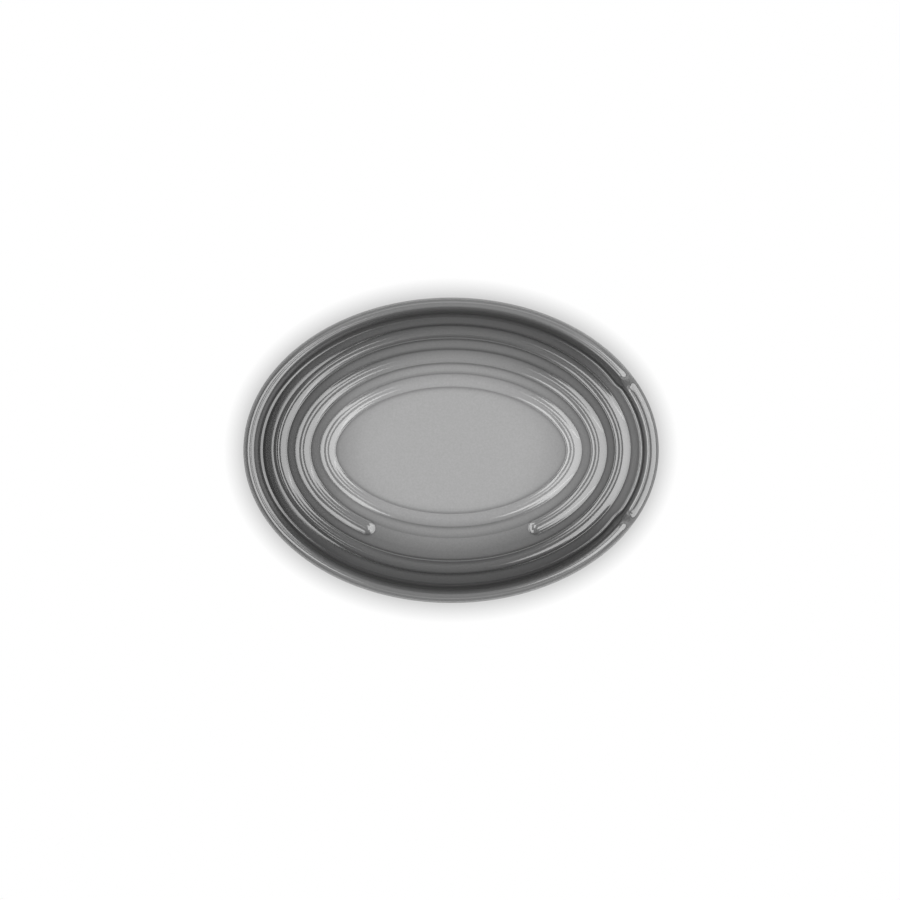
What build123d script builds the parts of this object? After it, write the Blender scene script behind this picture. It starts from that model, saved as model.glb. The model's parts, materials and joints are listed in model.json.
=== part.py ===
from build123d import *
from math import acos, cos, degrees, hypot, pi, radians, sin, sqrt
import os

# Spoon rest: one piece of glazed stoneware, all sizes in millimetres
# Z = 0 is the table, and the lowered lip for the spoon's handle is at +X

# Overall size
dish_length = 153.0
dish_width = 112.5
dish_height = 22.0

# Outer side, with every "in" distance measured inward from the widest outline
widest_height = 8.6
belly_radius = 6.0
foot_ring_in = 9.5
foot_ring_width = 3.2
foot_ring_height = 1.2

# Rim wall
rim_crest_in = 3.2
rim_crest_flat = 0.2
rim_outer_radius = 3.0
rim_inner_radius = 1.2
rim_wall_foot_in = 5.9
wall_foot_radius = 1.5

# Lowered lip where the spoon's handle lies
lip_height = 15.6
lip_width = 54.4
lip_shoulder = 6.0
lip_crest_in = 3.0
lip_crest_flat = 0.9
lip_outer_radius = 2.4
lip_inner_radius = 1.5
lip_wall_foot_in = 5.4

# Basin inside the rim
shelf_height = 7.6
shelf_reach_in = 9.0
floor_height = 6.2
slab_edge_in = 8.0
slab_underside = 3.0
slab_foot_in = 13.5

# Raised rings, with the distance in to each crest line as a share of half the dish's width
bead_width = 5.4
bead_height = 0.75
bead_root = 0.8
outer_ring_share = 0.231
middle_ring_share = 0.385
inner_ring_share = 0.546

# The middle ring stops short of the front, leaving this distance between the centres of its round ends
middle_ring_gap = 60.4

# Each oval is drawn in three arcs a quarter, which meet where its side faces these angles from the length
oval_turns = (35, 65)

# Places along a shoulder, as shares of its length
shoulder_shares = (0.0, 0.2, 0.5, 0.8, 1.0)

outer_ring_in = outer_ring_share * dish_width / 2
middle_ring_in = middle_ring_share * dish_width / 2
inner_ring_in = inner_ring_share * dish_width / 2


def arc_round(centre, radius, first, last):
    """Arc about a centre from one outward direction to another."""
    middle = (first + last).normalized()
    return ThreePointArc(centre + first * radius, centre + middle * radius, centre + last * radius)


def touch_direction(from_centre, to_centre, radius_change):
    """Outward direction, to the left of the way there, in which a line touches two circles."""
    way = to_centre - from_centre
    return way.normalized().rotate(Axis.Z, degrees(acos(radius_change / way.length)))


def rim_values(lowering):
    """Rim sizes between the full rim (0) and the lowered lip (1)."""
    full_crest = (dish_height, rim_crest_in, rim_crest_flat)
    lip_crest = (lip_height, lip_crest_in, lip_crest_flat)
    full = (*full_crest, rim_outer_radius, rim_inner_radius, rim_wall_foot_in)
    lip = (*lip_crest, lip_outer_radius, lip_inner_radius, lip_wall_foot_in)
    return [a + (b - a) * lowering for a, b in zip(full, lip)]


def rim_section(lowering):
    """Section through the rim, its belly and the foot ring: x is the distance in, y is the height."""
    crest_height, crest_in, crest_flat, outer_radius, inner_radius, foot_in = rim_values(lowering)
    up = Vector(0, 1)

    # Underside that rises from the foot ring, round belly, and a side that leans in to the crest
    foot_top = Vector(foot_ring_in, foot_ring_height)
    belly_centre = Vector(belly_radius, widest_height)
    outer_centre = Vector(crest_in - crest_flat / 2, crest_height - outer_radius)
    down = touch_direction(foot_top, belly_centre, -belly_radius)
    out = touch_direction(belly_centre, outer_centre, belly_radius - outer_radius)
    belly = arc_round(belly_centre, belly_radius, down, out)
    side = Line(belly @ 1, outer_centre + out * outer_radius)

    # Crest, rounder outside than inside, and the inner wall down to the shelf
    inner_centre = Vector(crest_in + crest_flat / 2, crest_height - inner_radius)
    wall_foot = Vector(foot_in, shelf_height)
    inward = touch_direction(inner_centre, wall_foot, inner_radius)
    crest_outside = arc_round(outer_centre, outer_radius, out, up)
    crest_inside = arc_round(inner_centre, inner_radius, up, inward)
    crest = Line(crest_outside @ 1, crest_inside @ 0)

    # Shelf, the step that the floor slab laps over, and the foot ring
    step_in = slab_foot_in + foot_ring_height
    step_height = slab_underside + foot_ring_height
    foot_inner = foot_ring_in + foot_ring_width
    corners = Polyline(
        crest_inside @ 1,
        wall_foot,
        (shelf_reach_in, shelf_height),
        (shelf_reach_in, step_height),
        (step_in, step_height),
        (step_in, foot_ring_height),
        (foot_inner, foot_ring_height),
        (foot_inner, 0),
        (foot_ring_in, 0),
        foot_top,
        belly @ 0,
    )
    section = make_face([belly, side, crest_outside, crest, crest_inside, *corners.edges()])
    foot_corner = section.vertices().sort_by_distance(wall_foot)[0]
    return fillet(foot_corner, wall_foot_radius)


def outline_radii():
    """Radii of the end, corner and side arcs of the outline, which follows an ellipse."""
    long_half, wide_half = dish_length / 2, dish_width / 2
    end_turn, side_turn = (radians(angle) for angle in oval_turns)
    middle = (end_turn + side_turn) / 2
    spread = hypot(long_half * cos(middle), wide_half * sin(middle))
    corner = long_half**2 * wide_half**2 / spread**3
    along = long_half - corner * (cos(end_turn) - cos(side_turn))
    across = wide_half - corner * (sin(side_turn) - sin(end_turn))
    end_run, side_run = 1 - cos(end_turn), cos(side_turn)
    end_rise, side_rise = sin(end_turn), 1 - sin(side_turn)
    scale = end_run * side_rise - side_run * end_rise
    end = (along * side_rise - side_run * across) / scale
    side = (end_run * across - along * end_rise) / scale
    return end, corner, side


def facing(direction):
    """Unit vector in a direction given in degrees, from +X towards +Y."""
    return Vector(cos(radians(direction)), sin(radians(direction)))


def oval_point(distance_in, direction):
    """Point in the first quarter, a distance in from the outline, where the oval faces a direction."""
    end, corner, side = outline_radii()
    end_turn, side_turn = oval_turns
    point = Vector(dish_length / 2, 0)
    arcs = ((end, 0, end_turn), (corner, end_turn, side_turn), (side, side_turn, 90))
    for radius, low, high in arcs:
        stop = min(max(direction, low), high)
        point += (facing(stop) - facing(low)) * radius
    return point - facing(direction) * distance_in


def oval_place(distance_in, direction):
    """Point on an oval for any outward direction, by mirroring the first quarter."""
    turned = direction % 360
    point = oval_point(distance_in, min(turned % 180, 180 - turned % 180))
    along = 1 if turned <= 90 or turned >= 270 else -1
    across = 1 if turned <= 180 else -1
    return Vector(point.X * along, point.Y * across)


def oval_path(distance_in, start=0, turn=360):
    """Tangent arcs along an oval, from one outward direction on through a turn."""
    end_turn, side_turn = oval_turns
    steps = (-side_turn, -end_turn, end_turn, side_turn)
    breaks = [base + step for base in (-180, 0, 180, 360) for step in steps]
    stops = [start, *[stop for stop in breaks if start < stop < start + turn], start + turn]
    arcs = []
    for low, high in zip(stops, stops[1:]):
        middle = oval_place(distance_in, (low + high) / 2)
        arcs.append(ThreePointArc(oval_place(distance_in, low), middle, oval_place(distance_in, high)))
    return Wire(arcs)


def square_plane(direction):
    """Plane square to the outline: x points inward, y points up."""
    inward = facing(direction) * -1
    return Plane(origin=oval_place(0, direction), x_dir=inward, z_dir=inward.cross(Vector(0, 0, 1)))


def rim_stretch(start, turn, lowering):
    """Rim swept along the outline from one direction on through a turn."""
    section = square_plane(start) * rim_section(lowering)
    return sweep(section, path=oval_path(0, start, turn))


def rim_shoulder(lip_end, full_end):
    """Shoulder between the lowered lip and the full rim."""
    sections = []
    for share in shoulder_shares:
        direction = lip_end + (full_end - lip_end) * share
        lowering = (1 + cos(pi * share)) / 2
        sections.append(square_plane(direction) * rim_section(lowering))
    return loft(sections)


def direction_where(distance_in, passed):
    """Outward direction in the first quarter of an oval from where a test of the point holds."""
    low, high = 0.0, 90.0
    for _ in range(40):
        middle = (low + high) / 2
        low, high = (low, middle) if passed(oval_point(distance_in, middle)) else (middle, high)
    return high


def make_rim():
    """Full rim, two shoulders and the lowered lip."""
    lip_end = direction_where(0, lambda point: point.Y > (lip_width - lip_shoulder) / 2)
    full_end = direction_where(0, lambda point: point.Y > (lip_width + lip_shoulder) / 2)
    full = rim_stretch(full_end, 360 - 2 * full_end, 0)
    lip = rim_stretch(-lip_end, 2 * lip_end, 1)
    return full + rim_shoulder(lip_end, full_end) + rim_shoulder(-lip_end, -full_end) + lip


def oval_face(distance_in, height):
    """Flat oval at a height."""
    return Pos(0, 0, height) * make_face(oval_path(distance_in).edges())


def slab_layer(edge_in, bottom, top):
    """Flat oval layer whose edge lies a given distance in from the outline."""
    return extrude(oval_face(edge_in, bottom), top - bottom)


def make_slab():
    """Floor of the dish, with a shelf that slopes down to the level well."""
    slab = slab_layer(slab_edge_in, slab_underside, shelf_height)
    slab += slab_layer(slab_foot_in, foot_ring_height, shelf_height)
    levels = [oval_face(inner_ring_in, floor_height), oval_face(outer_ring_in, shelf_height)]
    return slab - loft([*levels, oval_face(outer_ring_in, dish_height)], ruled=True)


def ground_height(ring_in):
    """Height of the slope under a ring's crest line."""
    rise_share = (inner_ring_in - ring_in) / (inner_ring_in - outer_ring_in)
    return floor_height + (shelf_height - floor_height) * rise_share


def bead_section():
    """Low round bead: y = 0 is the ground, and the root below it is buried."""
    radius = (bead_width**2 / 4 + bead_height**2) / (2 * bead_height)
    root_half = sqrt(radius**2 - (radius - bead_height - bead_root) ** 2)
    top = ThreePointArc((-root_half, -bead_root), (0, bead_height), (root_half, -bead_root))
    return make_face([top, Line((root_half, -bead_root), (-root_half, -bead_root))])


def bead_start(path, height):
    """Section of a bead at the start of its path."""
    side = (path % 0).cross(Vector(0, 0, 1))
    return Plane(origin=path @ 0 + Vector(0, 0, height), x_dir=side, z_dir=path % 0) * bead_section()


def closed_ring(ring_in):
    """Bead that runs all the way round."""
    path = oval_path(ring_in)
    return sweep(bead_start(path, ground_height(ring_in)), path=path)


def round_end(point, tangent, height):
    """Half dome that ends a bead, on the side that the tangent points to."""
    side = tangent.cross(Vector(0, 0, 1))
    origin = point + Vector(0, 0, height)
    half = bead_section() & Pos(bead_width, 0) * Rectangle(2 * bead_width, 2 * bead_width)
    face = Plane(origin=origin, x_dir=side, z_dir=tangent) * half
    return revolve(face, Axis(origin, (0, 0, 1)), 180)


def open_ring(ring_in, gap):
    """Bead that stops at a round end on each side of the gap in front."""
    reach = direction_where(ring_in, lambda point: point.X < gap / 2)
    path = oval_path(ring_in, -reach, 180 + 2 * reach)
    height = ground_height(ring_in)
    bead = sweep(bead_start(path, height), path=path)
    return bead + round_end(path @ 0, path % 0 * -1, height) + round_end(path @ 1, path % 1, height)


def make_basin():
    """Floor slab with its three raised rings."""
    middle_ring = open_ring(middle_ring_in, middle_ring_gap)
    return make_slab() + [closed_ring(outer_ring_in), middle_ring, closed_ring(inner_ring_in)]


def make_dish():
    """The whole spoon rest."""
    return make_rim() + make_basin()


os.makedirs("parts", exist_ok=True)
dish = make_dish()
dish.label = "dish"
export_step(dish, "parts/dish.step")
print("dish volume cm3", round(dish.volume / 1000, 2), "solids", len(dish.solids()))
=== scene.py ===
import json
import math
from collections import namedtuple

import bpy
import numpy as np
from mathutils import Matrix, Vector


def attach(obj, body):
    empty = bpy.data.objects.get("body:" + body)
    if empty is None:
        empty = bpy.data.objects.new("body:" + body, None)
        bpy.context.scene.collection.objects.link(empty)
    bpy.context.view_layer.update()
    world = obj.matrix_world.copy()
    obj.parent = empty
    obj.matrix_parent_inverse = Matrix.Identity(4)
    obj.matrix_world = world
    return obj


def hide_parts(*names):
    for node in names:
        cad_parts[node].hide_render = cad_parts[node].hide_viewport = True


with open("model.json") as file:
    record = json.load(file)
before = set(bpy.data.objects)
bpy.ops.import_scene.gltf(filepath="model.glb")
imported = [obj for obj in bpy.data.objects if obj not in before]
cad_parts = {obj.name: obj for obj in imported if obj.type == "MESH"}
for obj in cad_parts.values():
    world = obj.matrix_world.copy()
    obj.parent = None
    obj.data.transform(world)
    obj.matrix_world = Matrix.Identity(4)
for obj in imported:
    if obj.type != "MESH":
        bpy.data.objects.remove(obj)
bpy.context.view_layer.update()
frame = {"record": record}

# Spoon rest: one dish of glazed stoneware. +X is to the right, towards the lowered lip, +Y to the back
# and +Z up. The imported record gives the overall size, and the other sizes are in metres.
MM = 0.001
SIZE = frame["record"]["size"]["bbox_m"]
HALF_LENGTH, HALF_WIDTH, HEIGHT = SIZE[0] / 2, SIZE[1] / 2, SIZE[2]

Crest = namedtuple("Crest", "height distance_in flat outer_radius inner_radius")
Ring = namedtuple("Ring", "in_at_sides in_at_ends shift_to_back pooling")

# Outer side and foot ring. Every "in" distance is measured inward from the widest outline.
WIDEST_HEIGHT = 8.6 * MM
BELLY_RADIUS = 6.0 * MM
FOOT_RING_IN = 9.5 * MM
FOOT_RING_WIDTH = 3.2 * MM
FOOT_RING_HEIGHT = 1.2 * MM
FOOT_EDGE_RADIUS = 0.35 * MM

# In edge radii: the middle point of the foot ring's rounded edges, and the recess's first row
FOOT_EDGE_MIDDLE = 0.3
RECESS_FIRST_ROW = 3

# Rim, and the lip that it drops to
RIM_CREST = Crest(HEIGHT, 3.2 * MM, 0.2 * MM, 2.3 * MM, 1.6 * MM)
LIP_CREST = Crest(15.6 * MM, 3.0 * MM, 0.9 * MM, 2.4 * MM, 1.8 * MM)
LIP_HALF_WIDTH = 27.2 * MM
LIP_SHOULDER = 1.3 * MM

# Foot of the inner wall, and how much further in it lies at three places
WALL_FOOT_IN = 5.9 * MM
WALL_FOOT_EXTRA_AT_ENDS = -0.2 * MM
WALL_FOOT_EXTRA_AT_LIP = -0.25 * MM
WALL_FOOT_EXTRA_AT_SHOULDERS = 0.5 * MM
WALL_FOOT_SHOULDER_REACH = 5.0 * MM
WALL_FOOT_RADIUS = 1.6 * MM

# Basin: it falls in a low step at each ring's inner foot and, at a share of the step's slope, between rings
SHELF_HEIGHT = 7.4 * MM
FLOOR_HEIGHT = 6.2 * MM
STEP_WIDTH = 0.3 * MM
GAP_SLOPE = 0.06
INNERMOST_IN = 36.0 * MM

# Raised rings: their last field is the share of the shade lost along their feet, partly to pooled glaze and
# partly as painted crease shade. The outermost ring is as high as a bead over the ground inside it, and lower
# over the shelf on its outer side.
OUTER_RING = Ring(12.8 * MM, 13.2 * MM, 0.3 * MM, 0.5)
MIDDLE_RING = Ring(21.4 * MM, 21.9 * MM, 0.0 * MM, 0.36)
INNER_RING = Ring(30.3 * MM, 31.1 * MM, 0.0 * MM, 0.17)
BEAD_HEIGHT = 0.6 * MM
OUTER_SIDE_HEIGHT = 0.47 * MM
BEAD_HALF_WIDTH = 2.5 * MM
BEAD_HALF_WIDTH_AT_ENDS = 2.75 * MM
BEAD_FOOT_RADIUS = 0.15 * MM
POOL_AND_SHADE_REACH = 0.5 * MM

# Round ends of the middle ring, which is open at the front
RING_GAP_LEFT = -30.8 * MM
RING_GAP_RIGHT = 31.2 * MM
BEAD_END_TAPER = 1.2 * MM
BEAD_END_FOOT_RADIUS = 1.2 * MM

# Low apron of glaze along the outer foot of the outermost ring at the left end: how far from the crest line
# it reaches, how much narrower the bead is in front of it, and its slope
APRON_REACH = 2.8 * MM
APRON_WIDTH = 0.75 * MM
APRON_SLOPE = 0.052

# Columns of the mesh, which stand closer together at the lip's shoulders and the middle ring's ends
COLUMNS = 620
CLOSER_TIMES = 6
CLOSER_REACH = 0.05
RING_END_ANGLES = (math.radians(237.5), math.radians(302.5))
TRIAL_ANGLES = 20001

# Rows of the mesh
BELLY_POINTS = 8
SIDE_POINTS = 5
CREST_POINTS = 9
CREST_FLAT_POINTS = 2
WALL_POINTS = 6
FILLET_POINTS = 9
SHELF_POINTS = 3
BEAD_POINTS = 21
GAP_POINTS = 4
FLOOR_RINGS = 5

# A row this far from each ring's foot keeps the foot's shading off the ground beside it
FOOT_MARGIN = 0.12 * MM

# Shortest step and smallest normal that are divided by
TINY_STEP = 1e-7
TINY_NORMAL = 1e-12

# The left end and its middle part: the inward direction's x where they start, and over what rise they grow
LEFT_END = (0.15, 0.5)
LEFT_END_MIDDLE = (0.6, 0.4)

# Glaze: its shade against the share of the way from the centre to the ends, on ovals of this aspect
GLAZE_SHADES = (
    (0.0, 0.280),
    (0.34, 0.280),
    (0.42, 0.268),
    (0.50, 0.232),
    (0.57, 0.190),
    (0.65, 0.138),
    (0.77, 0.102),
    (0.89, 0.082),
    (1.0, 0.080),
)
GLAZE_ASPECT = 1.28
GLAZE_IOR = 2.1
GLAZE_GLOSS = 0.5
GLAZE_ROUGHNESS = 0.085
MOTTLE = 0.06
MOTTLE_SCALE = 1500
MOTTLE_DETAIL = 3

# Glaze on bends, which are in radians per millimetre: paler on the lip's edges, and darker in creases,
# partly thick glaze and partly painted shade
EDGE_GAIN = 0.9
EDGE_BEND_FROM = (0.25, 0.35)
CREASE_LOSS = 0.3
CREASE_BEND = 0.8
BEND_BLUR = 2

# Inner wall: how much of its normal has to point inward, and its glaze, with a painted shade that is
# partly cut at the left end
WALL_FACING_FROM = (0.65, 0.25)
WALL_FACING_GAIN_AT_SIDES = 0.6
WALL_PAINTED_SHADE = 0.45
WALL_PAINTED_SHADE_CUT_AT_LEFT_END = 0.5
WALL_ROUGHNESS = 0.3
WALL_GLOSS = 0.15

# Glaze by place: a painted highlight on the full rim's crest, painted light by the lip, painted shade on the
# shelf's left end and towards the left, and darker in front. Each "from" pair is where the change starts
# and over what distance it grows. Surfaces count as level above this upward part of their normal, and the
# heights are above the shelf.
LEVEL_NORMAL = 0.6
CREST_PAINTED_HIGHLIGHT = 0.8
CREST_PAINTED_HIGHLIGHT_AT = 2.7 * MM
CREST_PAINTED_HIGHLIGHT_REACH = 1.2 * MM
CREST_LOWEST = 6 * MM
SHELF_PAINTED_SHADE_AT_LEFT_END = 0.55
SHELF_HIGHEST = 1 * MM
LEFT_PAINTED_SHADE = 0.18
LEFT_PAINTED_SHADE_FROM = (34 * MM, 16 * MM)
FAR_LEFT_PAINTED_SHADE_FROM = (58 * MM, 8 * MM)
FRONT_LOSS = 0.14
FRONT_LOSS_FROM = (18 * MM, 12 * MM)
LIP_PAINTED_LIGHT = 0.9
LIP_PAINTED_LIGHT_FROM = (45 * MM, 25 * MM)
BY_LIP_HIGHEST = 2 * MM

# Bare clay where the foot ring stands
CLAY_GAIN = 5.2
UNGLAZED_HEIGHT = 0.2 * MM

# Softboxes: name, horizontal direction, lowest and highest angle off the vertical in degrees, both ends
# as shares of the distance (along y beside the dish, along x before and behind it), and brightness
LIGHT_DISTANCE = 2.0
SOFTBOXES = (
    ("softbox_left", (-1, 0), 27, 60, 0.62, -0.8, 2.55),
    ("strip_above", (-1, 0), 4.5, 15, 0.23, -0.15, 2.4),
    ("strip_end_back", (-1, 0), 15, 27, 0.56, 0.34, 2.4),
    ("strip_end_front", (-1, 0), 15, 27, -0.38, -0.8, 2.4),
    ("softbox_right", (1, 0), 5, 72, 0.18, -0.34, 2.4),
    ("softbox_right_back", (1, 0), 20, 72, 0.60, 0.18, 2.4),
    ("softbox_right_front", (1, 0), 16, 72, -0.34, -0.62, 2.4),
    ("glow_back", (0, 1), 52, 82, 0.75, -0.75, 0.8),
    ("glow_front", (0, -1), 52, 82, 0.75, -0.75, 0.6),
)

# Light of the surroundings: on diffuse surfaces, and where the glaze mirrors it
WORLD_FILL = 0.45
WORLD_IN_REFLECTIONS = 0.10

# Table: half its side in metres, its shade, the shade that the glaze mirrors, and how far and how deep
# the dish's shadow is
TABLE_REACH = 3
TABLE_SHADE = 0.85
TABLE_IN_REFLECTIONS = 0.36
SHADOW_REACH = 10 * MM
SHADOW_DEPTH = 0.8
SHADOW_SAMPLES = 16

# Camera: the photograph is square, the dish of 153 mm is 415.5 of its 900 pixels long, and the camera
# stands a little off the dish's centre
PIXEL = 153 * MM / 415.5
PHOTO_PIXELS = 900
FILM_WIDTH = 36
CAMERA_X, CAMERA_Y = -1.05 * PIXEL, 0.3 * PIXEL
CAMERA_DISTANCE = 2.4
CAMERA_RANGE = (0.1, 10)


def rise(value, start, width):
    """0 up to the start, 1 from start + width, and a smooth rise between."""
    share = np.clip((value - start) / width, 0.0, 1.0)
    return share * share * (3 - 2 * share)


def column_angles():
    """Angles round the outline, closer together at the lip's shoulders and the middle ring's ends."""
    trial = np.linspace(0, 2 * math.pi, TRIAL_ANGLES)
    shoulder = math.asin(LIP_HALF_WIDTH / HALF_WIDTH)
    density = np.ones_like(trial)
    for end in (shoulder, 2 * math.pi - shoulder, *RING_END_ANGLES):
        density += CLOSER_TIMES * np.exp(-(((trial - end) / CLOSER_REACH) ** 2))
    total = np.concatenate([[0], np.cumsum((density[1:] + density[:-1]) / 2)])
    return np.interp(np.arange(COLUMNS) / COLUMNS * total[-1], total, trial)


ANGLES = column_angles()


def outline_frame():
    """Points of the outline and its inward direction, one row each."""
    points = np.stack([HALF_LENGTH * np.cos(ANGLES), HALF_WIDTH * np.sin(ANGLES)], axis=1)
    inward = -np.stack([HALF_WIDTH * np.cos(ANGLES), HALF_LENGTH * np.sin(ANGLES)], axis=1)
    return points, inward / np.linalg.norm(inward, axis=1)[:, None]


OUTLINE, INWARD = outline_frame()
AT_LEFT_END = rise(INWARD[:, 0], *LEFT_END)


def lowering():
    """0 on the full rim and 1 on the lowered lip, for each column."""
    across = np.abs(OUTLINE[:, 1])
    share = 0.5 + 0.5 * np.tanh((LIP_HALF_WIDTH - across) / LIP_SHOULDER)
    return np.where(OUTLINE[:, 0] > 0, share, 0.0)


def arc(centre, radius, first, last, count):
    """Points along an arc about a centre, from one direction to another, for all columns at once."""
    shares = np.arange(count)[:, None] / (count - 1)
    angle = first + (last - first) * shares
    return centre[0] + radius * np.cos(angle), centre[1] + radius * np.sin(angle)


def line(start, end, count):
    """Points along a straight line, its two ends left out."""
    shares = (np.arange(count)[:, None] + 1) / (count + 1)
    return start[0] + (end[0] - start[0]) * shares, start[1] + (end[1] - start[1]) * shares


def touch_angle(from_centre, to_centre, radius_change):
    """Angle at which a line that touches two circles leaves them, to the left of the way."""
    x, y = to_centre[0] - from_centre[0], to_centre[1] - from_centre[1]
    return np.arctan2(y, x) + np.arccos(radius_change / np.hypot(x, y))


def wall_foot_in():
    """Distance in to the foot of the inner wall, for each column."""
    beside = (np.abs(OUTLINE[:, 1]) - LIP_HALF_WIDTH - LIP_SHOULDER) / WALL_FOOT_SHOULDER_REACH
    bulge = np.where(OUTLINE[:, 0] > 0, np.exp(-(beside**2)) * (1 - lowering()), 0)
    extra = WALL_FOOT_EXTRA_AT_ENDS * INWARD[:, 0] ** 2 + WALL_FOOT_EXTRA_AT_SHOULDERS * bulge
    return WALL_FOOT_IN + extra + WALL_FOOT_EXTRA_AT_LIP * lowering()


def rim_rows():
    """Distance in and height of each row from the belly over the rim down to the shelf."""
    low = lowering()
    crest = Crest(*(full + (lip - full) * low for full, lip in zip(RIM_CREST, LIP_CREST)))
    outer_radius, inner_radius = crest.outer_radius, crest.inner_radius
    foot_top = (FOOT_RING_IN + 0 * low, FOOT_RING_HEIGHT + 0 * low)
    belly_centre = (BELLY_RADIUS + 0 * low, WIDEST_HEIGHT + 0 * low)
    outer_centre = (crest.distance_in - crest.flat / 2, crest.height - outer_radius)
    inner_centre = (crest.distance_in + crest.flat / 2, crest.height - inner_radius)
    wall_foot = (wall_foot_in(), SHELF_HEIGHT + 0 * low)
    down = touch_angle(foot_top, belly_centre, -BELLY_RADIUS) % (2 * math.pi)
    out = touch_angle(belly_centre, outer_centre, BELLY_RADIUS - outer_radius)
    inward = touch_angle(inner_centre, wall_foot, inner_radius)

    # The wall's foot is rounded where the wall meets the level shelf
    fall = inward - math.pi / 2
    reach = WALL_FOOT_RADIUS / np.tan((math.pi + fall) / 2)
    fillet_centre = (wall_foot[0] + reach, SHELF_HEIGHT + WALL_FOOT_RADIUS + 0 * low)

    belly = arc(belly_centre, BELLY_RADIUS, down, out, BELLY_POINTS)
    outside = arc(outer_centre, outer_radius, out, math.pi / 2, CREST_POINTS)
    inside = arc(inner_centre, inner_radius, math.pi / 2, inward, CREST_POINTS)
    fillet = arc(fillet_centre, WALL_FOOT_RADIUS, inward + math.pi, 1.5 * math.pi, FILLET_POINTS)
    arcs = (belly, outside, inside, fillet)
    rows = [belly]
    for before, after, count in zip(arcs, arcs[1:], (SIDE_POINTS, CREST_FLAT_POINTS, WALL_POINTS)):
        start, end = (before[0][-1], before[1][-1]), (after[0][0], after[1][0])
        rows += [line(start, end, count), after]
    return rows


def ring_crest(ring):
    """Distance in to the crest line of a raised ring, for each column."""
    extra_at_ends = (ring.in_at_ends - ring.in_at_sides) * INWARD[:, 0] ** 2
    return ring.in_at_sides + extra_at_ends + ring.shift_to_back * INWARD[:, 1]


def bead_half_width():
    """Half width of the raised rings, for each column."""
    return BEAD_HALF_WIDTH + (BEAD_HALF_WIDTH_AT_ENDS - BEAD_HALF_WIDTH) * INWARD[:, 0] ** 2


def bead_foot_reach(half_width, foot_radius=BEAD_FOOT_RADIUS, height=BEAD_HEIGHT):
    """How far from the crest line the soft foot of a bead ends."""
    radius = (half_width**2 + height**2) / (2 * height)
    centre_drop = foot_radius + radius - height
    return np.sqrt((radius + foot_radius) ** 2 - centre_drop**2)


def bead_shape(distance, half_width, foot_radius=BEAD_FOOT_RADIUS, height=BEAD_HEIGHT):
    """Height of a round bead with soft feet, at a distance from its crest line."""
    radius = (half_width**2 + height**2) / (2 * height)
    foot_reach = bead_foot_reach(half_width, foot_radius, height)
    change = foot_reach * radius / (radius + foot_radius)
    distance = np.minimum(distance, foot_reach)
    dome = height - radius + np.sqrt(np.maximum(radius**2 - distance**2, 0))
    foot = foot_radius - np.sqrt(np.maximum(foot_radius**2 - (foot_reach - distance) ** 2, 0))
    return np.where(distance < change, dome, foot)


def ground(distance_in):
    """Height of the basin without its rings."""
    reach = bead_foot_reach(bead_half_width())
    outer, middle, inner = (ring_crest(ring) for ring in (OUTER_RING, MIDDLE_RING, INNER_RING))
    bands = [(foot - STEP_WIDTH, foot, 1) for foot in (outer + reach, middle + reach, inner + reach)]
    bands += [(outer + reach, middle - reach, GAP_SLOPE), (middle + reach, inner - reach, GAP_SLOPE)]
    share = sum(slope * np.clip(distance_in - start, 0, end - start) for start, end, slope in bands)
    whole = sum(slope * (end - start) for start, end, slope in bands)

    # The outermost ring's inner side takes a part of the fall
    fall = SHELF_HEIGHT - FLOOR_HEIGHT - BEAD_HEIGHT + OUTER_SIDE_HEIGHT
    return SHELF_HEIGHT - fall * share / whole


def beyond_ring_end():
    """How far each column lies past the middle ring's nearer end, along the ring."""
    crest = OUTLINE + INWARD * ring_crest(MIDDLE_RING)[:, None]
    steps = np.linalg.norm(np.roll(crest, -1, axis=0) - crest, axis=1)
    along = np.concatenate([[0], np.cumsum(steps)[:-1]])
    front = crest[:, 1] < 0
    left = np.interp(RING_GAP_LEFT, crest[front, 0], along[front])
    right = np.interp(RING_GAP_RIGHT, crest[front, 0], along[front])
    return np.minimum(along - left, right - along)


def off_crest(distance_in, ring):
    """Distance from a ring's crest line, or from its round ends beyond them."""
    offset = distance_in - ring_crest(ring)
    if ring is MIDDLE_RING:
        width = bead_half_width()
        start = (np.sqrt(width**2 + 4 * width * BEAD_END_TAPER) - width) / 2
        beyond = np.maximum(beyond_ring_end() + start, 0)
        offset = np.hypot(offset, beyond**2 / (beyond + BEAD_END_TAPER))
    return np.abs(offset)


def outer_ring_shape(distance_in):
    """Height of the outermost ring: lower outside, where its apron lies, than inside."""
    off = off_crest(distance_in, OUTER_RING)
    inside = bead_shape(off, bead_half_width()) + OUTER_SIDE_HEIGHT - BEAD_HEIGHT
    outside = bead_shape(off, bead_half_width() - APRON_WIDTH * AT_LEFT_END, height=OUTER_SIDE_HEIGHT)
    apron = APRON_SLOPE * AT_LEFT_END * (APRON_REACH - off)
    return np.where(distance_in < ring_crest(OUTER_RING), np.maximum(outside, apron), inside)


def middle_ring_shape(distance_in):
    """Height of the middle ring, with wider soft feet round its two ends."""
    near_end = rise(beyond_ring_end(), -BEAD_END_TAPER, BEAD_END_TAPER)
    foot_radius = BEAD_FOOT_RADIUS + (BEAD_END_FOOT_RADIUS - BEAD_FOOT_RADIUS) * near_end
    return bead_shape(off_crest(distance_in, MIDDLE_RING), bead_half_width(), foot_radius)


def basin_height(distance_in):
    """Height of the basin with its three rings, for rows of distances."""
    inner_ring = bead_shape(off_crest(distance_in, INNER_RING), bead_half_width())
    rings = outer_ring_shape(distance_in) + middle_ring_shape(distance_in) + inner_ring
    return ground(distance_in) + rings


def pooled_glaze_and_crease_shade(distance_in):
    """Share of the shade lost along the feet of the rings, partly to pooled glaze and partly as painted
    crease shade.
    """
    loss = 0
    for ring in (OUTER_RING, MIDDLE_RING, INNER_RING):
        off_foot = off_crest(distance_in, ring) - bead_foot_reach(bead_half_width())
        loss = loss + ring.pooling * np.exp(-((off_foot / POOL_AND_SHADE_REACH) ** 2))
    return loss


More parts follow.
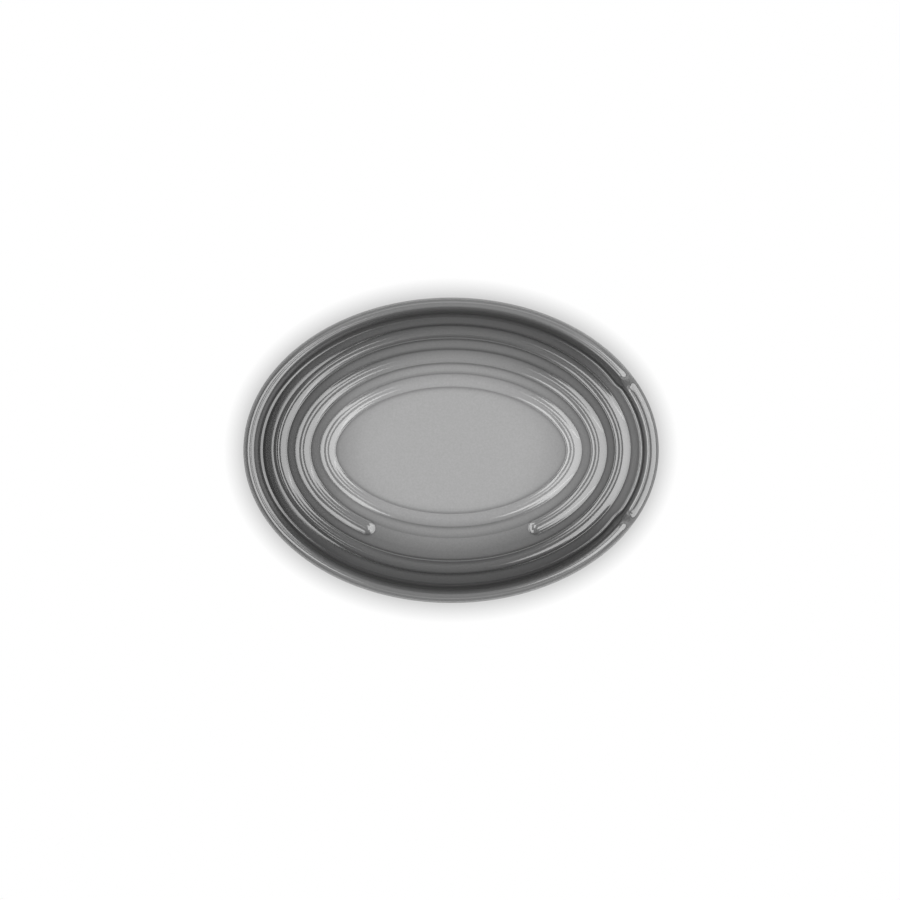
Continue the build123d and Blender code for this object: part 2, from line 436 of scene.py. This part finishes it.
def basin_rows():
    """Distance in and height of each row from the shelf to just inside the inner ring."""
    reach = bead_foot_reach(bead_half_width())
    stops = [wall_foot_in() + WALL_FOOT_RADIUS]
    counts = []
    for ring, points in ((OUTER_RING, SHELF_POINTS), (MIDDLE_RING, GAP_POINTS), (INNER_RING, GAP_POINTS)):
        crest = ring_crest(ring)
        stops += [crest - reach - FOOT_MARGIN, crest - reach, crest + reach, crest + reach + FOOT_MARGIN]
        counts += [points, 1, BEAD_POINTS, 1]
    stops.append(INNERMOST_IN + 0 * ANGLES)
    counts.append(SHELF_POINTS)
    rows = []
    for start, end, count in zip(stops, stops[1:], counts):
        shares = np.arange(count)[:, None] / count
        rows.append(start + (end - start) * shares)
    distance_in = np.concatenate([*rows, stops[-1][None, :]])[1:]
    return [(distance_in, basin_height(distance_in))]


def foot_rows():
    """Distance in and height of each row from the recess under the dish over the foot ring."""
    inner_in = FOOT_RING_IN + FOOT_RING_WIDTH
    edge = FOOT_EDGE_RADIUS
    middle = edge * FOOT_EDGE_MIDDLE
    corners = [
        (INNERMOST_IN, FOOT_RING_HEIGHT),
        (inner_in + edge * RECESS_FIRST_ROW, FOOT_RING_HEIGHT),
        (inner_in + edge, FOOT_RING_HEIGHT),
        (inner_in + middle, FOOT_RING_HEIGHT - middle),
        (inner_in, FOOT_RING_HEIGHT - edge),
        (inner_in, edge),
        (inner_in - middle, middle),
        (inner_in - edge, 0),
        (FOOT_RING_IN + edge, 0),
        (FOOT_RING_IN + middle, middle),
        (FOOT_RING_IN, edge),
        (FOOT_RING_IN, FOOT_RING_HEIGHT - edge),
        (FOOT_RING_IN - middle, FOOT_RING_HEIGHT - middle),
        (FOOT_RING_IN - edge, FOOT_RING_HEIGHT),
    ]
    return [(np.full((1, COLUMNS), x), np.full((1, COLUMNS), z)) for x, z in corners]


def section_rows():
    """Distance in and height of every row, from the recess underneath round the rim to the well."""
    rows = foot_rows() + rim_rows() + basin_rows()
    return np.concatenate([row[0] for row in rows]), np.concatenate([row[1] for row in rows])


def dish_points(distance_in, height):
    """Points of the dish, row by row from under its centre to the middle of the well."""
    flat = OUTLINE[None] + INWARD[None] * distance_in[:, :, None]
    points = np.concatenate([flat, height[:, :, None]], axis=2)
    shares = (np.arange(FLOOR_RINGS)[:, None, None] + 1) / (FLOOR_RINGS + 1)
    toward = np.array([0.0, 0.0, 1.0])
    under = points[0] * (shares + (1 - shares) * toward)
    well = points[-1] * ((1 - shares) + shares * toward)
    return np.concatenate([under, points, well])


def dish_faces(row_count):
    """Quads between the rows, and a fan at each pole."""
    first = np.arange(row_count - 1)[:, None] * COLUMNS
    second = first + COLUMNS
    columns = np.arange(COLUMNS)[None, :]
    after = (columns + 1) % COLUMNS
    corners = [first + columns, second + columns, second + after, first + after]
    quads = np.stack(corners, axis=-1).reshape(-1, 4)
    bottom, top = row_count * COLUMNS, row_count * COLUMNS + 1
    last = (row_count - 1) * COLUMNS
    fans = [(bottom, int(c), int(n)) for c, n in zip(columns[0], after[0])]
    fans += [(top, last + int(n), last + int(c)) for c, n in zip(columns[0], after[0])]
    return quads.tolist() + fans


def profile_normals(points):
    """Normal of the surface at each point, and how strongly its section bends there."""
    before = points - np.roll(points, 1, axis=0)
    after = np.roll(points, -1, axis=0) - points
    before_length = np.maximum(np.linalg.norm(before, axis=2), TINY_STEP)
    after_length = np.maximum(np.linalg.norm(after, axis=2), TINY_STEP)
    turn = after / after_length[..., None] - before / before_length[..., None]
    turn /= (before_length + after_length)[..., None] / 2
    around = np.roll(points, -1, axis=1) - np.roll(points, 1, axis=1)
    normal = np.cross(around, before + after)
    normal /= np.maximum(np.linalg.norm(normal, axis=2), TINY_NORMAL)[..., None]
    bend = -(turn * normal).sum(axis=2) * MM

    # The rows by the two poles have no neighbours beyond them
    bend[:2] = 0
    bend[-2:] = 0
    return normal, bend


def blur_rows(values, times):
    """Soften values along the section."""
    for _ in range(times):
        values = (np.roll(values, 1, axis=0) + 2 * values + np.roll(values, -1, axis=0)) / 4
    return values


def bend_tint(bend):
    """Thin and pale glaze on the lip's edges; darker in creases, partly thick glaze and partly painted shade.
    """
    start, width = EDGE_BEND_FROM
    edge = np.clip((bend - start) / width, 0, 1) * lowering()
    return 1 + EDGE_GAIN * edge - CREASE_LOSS * np.clip(-bend / CREASE_BEND, 0, 1)


def section_tint(distance_in, height, on_top):
    """Along the section: pooled glaze and painted shade by the rings, a painted highlight on the full rim's
    crest, and painted shade on the left shelf.
    """
    off_centre = (distance_in - CREST_PAINTED_HIGHLIGHT_AT) / CREST_PAINTED_HIGHLIGHT_REACH
    on_crest = (height > SHELF_HEIGHT + CREST_LOWEST) * (1 - lowering())
    outside_ring = distance_in < ring_crest(OUTER_RING) - APRON_REACH
    on_shelf = on_top * outside_ring * (height < SHELF_HEIGHT + SHELF_HIGHEST)
    # Darker along the rings' feet: partly pooled glaze, partly painted crease shade
    tint = 1 - pooled_glaze_and_crease_shade(distance_in) * on_top
    # Painted highlight along the full rim's crest
    tint *= 1 + CREST_PAINTED_HIGHLIGHT * np.exp(-(off_centre**2)) * on_crest
    # Painted shade on the shelf at the left end
    return tint * (1 - SHELF_PAINTED_SHADE_AT_LEFT_END * on_shelf * rise(INWARD[:, 0], *LEFT_END_MIDDLE))


def place_tint(points, distance_in, on_top, between):
    """Painted shade towards the left end, darker towards the front, and painted light on the basin by the
    lip.
    """
    x, y, height = points[..., 0], points[..., 1], points[..., 2]
    # Painted shade towards the left end
    tint = 1 - LEFT_PAINTED_SHADE * rise(-x, *LEFT_PAINTED_SHADE_FROM)
    tint *= 1 - LEFT_PAINTED_SHADE * rise(-x, *FAR_LEFT_PAINTED_SHADE_FROM) * on_top
    tint *= 1 - FRONT_LOSS * rise(-y, *FRONT_LOSS_FROM)
    # Painted light on the low basin by the lip
    by_lip = rise(x, *LIP_PAINTED_LIGHT_FROM) * on_top * (height < SHELF_HEIGHT + BY_LIP_HIGHEST)
    by_lip[between] *= distance_in < ring_crest(OUTER_RING)
    return tint * (1 + LIP_PAINTED_LIGHT * by_lip)


def glaze_tint(points, distance_in, wall):
    """How much the glaze's shade differs at each point, painted shade and light included, and where the clay
    is bare.
    """
    normal, bend = profile_normals(points)
    height = points[..., 2]
    on_top = (normal[..., 2] > LEVEL_NORMAL) & (height > FLOOR_HEIGHT / 2)
    between = slice(FLOOR_RINGS, -FLOOR_RINGS)
    # Pale thin glaze on the lip's edges; darker creases, partly thick glaze and partly painted shade
    tint = bend_tint(blur_rows(bend, BEND_BLUR))
    # Painted shade on the steep inner wall
    tint *= 1 - WALL_PAINTED_SHADE * wall * (1 - WALL_PAINTED_SHADE_CUT_AT_LEFT_END * AT_LEFT_END)
    tint[between] *= section_tint(distance_in, height[between], on_top[between])
    tint[height < UNGLAZED_HEIGHT] = CLAY_GAIN
    return tint * place_tint(points, distance_in, on_top, between)


def inner_wall(points):
    """1 on the steep inner wall, 0 elsewhere."""
    normal, _ = profile_normals(points)
    facing_in = (normal[..., :2] * INWARD[None]).sum(axis=2)
    facing_in += WALL_FACING_GAIN_AT_SIDES * INWARD[:, 1] ** 2
    return rise(facing_in, *WALL_FACING_FROM) * (points[..., 2] > SHELF_HEIGHT)


def make_dish():
    """The dish as one closed mesh with the attributes that its glaze reads."""
    distance_in, height = section_rows()
    points = dish_points(distance_in, height)
    poles = [(0, 0, float(points[0, 0, 2])), (0, 0, float(points[-1, 0, 2]))]
    mesh = bpy.data.meshes.new("dish_glazed")
    mesh.from_pydata(points.reshape(-1, 3).tolist() + poles, [], dish_faces(len(points)))
    mesh.update()
    mesh.polygons.foreach_set("use_smooth", [True] * len(mesh.polygons))
    wall = inner_wall(points)
    tint = glaze_tint(points, distance_in, wall)
    for name, values, at_poles in (("tint", tint, 1), ("wall", wall, 0)):
        attribute = mesh.attributes.new(name, "FLOAT", "POINT")
        attribute.data.foreach_set("value", np.append(values.reshape(-1), [at_poles] * 2).astype(np.float32))
    dish = bpy.data.objects.new("dish_glazed", mesh)
    bpy.context.collection.objects.link(dish)
    return dish


def feed(tree, socket, value):
    """Set an input to a value, or link the output that gives it."""
    if isinstance(value, bpy.types.NodeSocket):
        tree.links.new(value, socket)
    else:
        socket.default_value = value


def add_node(tree, kind, inputs=(), **settings):
    """A shader node with its settings, and with some inputs fed."""
    node = tree.nodes.new("ShaderNode" + kind)
    for name, value in settings.items():
        setattr(node, name, value)
    for name, value in dict(inputs).items():
        feed(tree, node.inputs[name], value)
    return node


def map_range(tree, value, low, high, top=1.0):
    """Output that goes from low to high while the value goes from 0 to the top."""
    inputs = {"Value": value, "From Max": top, "To Min": low, "To Max": high}
    return add_node(tree, "MapRange", inputs).outputs["Result"]


def grey(shade):
    """Opaque grey of a shade."""
    return (shade, shade, shade, 1)


def set_ramp(ramp, shades):
    """Fill a colour ramp with grey shades at their positions."""
    ends = ramp.elements
    for element, (position, shade) in ((ends[0], shades[0]), (ends[-1], shades[-1])):
        element.position = position
        element.color = grey(shade)
    for position, shade in shades[1:-1]:
        ramp.elements.new(position).color = grey(shade)


def glaze_material():
    """Glossy glaze, dark at the rim and paler towards the well, with the mesh's tint, which holds painted
    shade and light, and a fine mottle.
    """
    material = bpy.data.materials.new("glaze")
    material.use_nodes = True
    tree = material.node_tree
    place = add_node(tree, "TexCoord").outputs["Object"]
    stretched = add_node(tree, "VectorMath", {0: place, 1: (1, GLAZE_ASPECT, 0)}, operation="MULTIPLY")
    reach = add_node(tree, "VectorMath", {0: stretched.outputs["Vector"]}, operation="LENGTH")
    share = map_range(tree, reach.outputs["Value"], 0.0, 1.0, HALF_LENGTH)
    ramp = add_node(tree, "ValToRGB", {"Fac": share})
    set_ramp(ramp.color_ramp, GLAZE_SHADES)
    noise = add_node(tree, "TexNoise", {"Vector": place, "Scale": MOTTLE_SCALE, "Detail": MOTTLE_DETAIL})
    mottle = map_range(tree, noise.outputs["Fac"], 1 - MOTTLE * 2, 1 + MOTTLE * 2)
    tint = add_node(tree, "Attribute", attribute_name="tint").outputs["Fac"]
    both = add_node(tree, "Math", {0: tint, 1: mottle}, operation="MULTIPLY").outputs["Value"]
    shade = add_node(tree, "VectorMath", {0: ramp.outputs["Color"], 1: both}, operation="MULTIPLY")
    wall = add_node(tree, "Attribute", attribute_name="wall").outputs["Fac"]
    shader = tree.nodes["Principled BSDF"].inputs
    feed(tree, shader["Base Color"], shade.outputs["Vector"])
    feed(tree, shader["Specular IOR Level"], map_range(tree, wall, GLAZE_GLOSS, WALL_GLOSS))
    feed(tree, shader["Roughness"], map_range(tree, wall, GLAZE_ROUGHNESS, WALL_ROUGHNESS))
    feed(tree, shader["IOR"], GLAZE_IOR)
    return material


def make_softbox(name, toward, low, high, first, last, radiance):
    """Rectangular softbox that faces the dish, hidden from the camera."""
    up, toward = Vector((0, 0, 1)), Vector((*toward, 0))
    ends = [toward * math.sin(angle) + up * math.cos(angle) for angle in map(math.radians, (low, high))]
    across = (ends[1] - ends[0]).normalized()
    along = up.cross(toward)
    away = across.cross(along)
    middle = (ends[0] + ends[1]) / 2 + Vector((abs(along.x), abs(along.y), 0)) * (first + last) / 2
    size = ((ends[1] - ends[0]).length * LIGHT_DISTANCE, (first - last) * LIGHT_DISTANCE)
    data = bpy.data.lights.new(name, "AREA")
    data.shape = "RECTANGLE"
    data.size, data.size_y = size
    data.energy = radiance * math.pi * size[0] * size[1]
    light = bpy.data.objects.new(name, data)
    light.location = middle * LIGHT_DISTANCE
    light.rotation_mode = "QUATERNION"
    light.rotation_quaternion = Matrix((across, away.cross(across), away)).transposed().to_quaternion()
    light.visible_camera = False
    bpy.context.collection.objects.link(light)


def make_world():
    """White to the camera, dim to the glaze's reflections, a little fill for the rest."""
    world = bpy.data.worlds.new("studio")
    world.use_nodes = True
    bpy.context.scene.world = world
    tree = world.node_tree
    background = tree.nodes["Background"].inputs
    background["Color"].default_value = grey(1)
    path = add_node(tree, "LightPath").outputs
    seen = map_range(tree, path["Is Camera Ray"], WORLD_FILL, 1.0)
    feed(tree, background["Strength"], map_range(tree, path["Is Glossy Ray"], seen, WORLD_IN_REFLECTIONS))


def table_material():
    """White table, darker to the camera where the dish stands over it, and dimmer in the glaze."""
    material = bpy.data.materials.new("floor_white")
    material.use_nodes = True
    tree = material.node_tree
    path = add_node(tree, "LightPath").outputs
    shades = {"A": grey(TABLE_SHADE), "B": grey(TABLE_IN_REFLECTIONS), "Factor": path["Is Glossy Ray"]}
    shade = add_node(tree, "Mix", shades, data_type="RGBA")
    shader = tree.nodes["Principled BSDF"]
    shader.inputs["Roughness"].default_value = 1.0
    shader.inputs["Specular IOR Level"].default_value = 0.0
    feed(tree, shader.inputs["Base Color"], shade.outputs["Result"])
    sky = add_node(tree, "AmbientOcclusion", {"Distance": SHADOW_REACH}, samples=SHADOW_SAMPLES)
    shadow = add_node(tree, "Math", {0: sky.outputs["AO"], 1: SHADOW_DEPTH}, operation="POWER")
    glow = add_node(tree, "Emission", {"Strength": shadow.outputs["Value"]})
    sides = {"Fac": path["Is Camera Ray"], 1: shader.outputs["BSDF"], 2: glow.outputs["Emission"]}
    seen = add_node(tree, "MixShader", sides)
    feed(tree, tree.nodes["Material Output"].inputs["Surface"], seen.outputs["Shader"])
    return material


def make_floor():
    """The table that the dish stands on."""
    mesh = bpy.data.meshes.new("floor")
    corners = [(x * TABLE_REACH, y * TABLE_REACH, 0) for x, y in ((-1, -1), (1, -1), (1, 1), (-1, 1))]
    mesh.from_pydata(corners, [], [(0, 1, 2, 3)])
    mesh.materials.append(table_material())
    floor = bpy.data.objects.new("floor", mesh)
    bpy.context.collection.objects.link(floor)


def make_camera():
    """Straight above the dish, as the photograph is taken."""
    data = bpy.data.cameras.new("camera")
    data.sensor_width = FILM_WIDTH
    data.lens = FILM_WIDTH * CAMERA_DISTANCE / (PHOTO_PIXELS * PIXEL)
    data.clip_start, data.clip_end = CAMERA_RANGE
    camera = bpy.data.objects.new("camera", data)
    camera.location = (CAMERA_X, CAMERA_Y, WIDEST_HEIGHT + CAMERA_DISTANCE)
    bpy.context.collection.objects.link(camera)
    bpy.context.scene.camera = camera


dish = make_dish()
dish.data.materials.append(glaze_material())
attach(dish, "root")
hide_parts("dish")
for softbox in SOFTBOXES:
    make_softbox(*softbox)
make_world()
make_floor()
make_camera()
bpy.context.scene.view_settings.view_transform = "Standard"
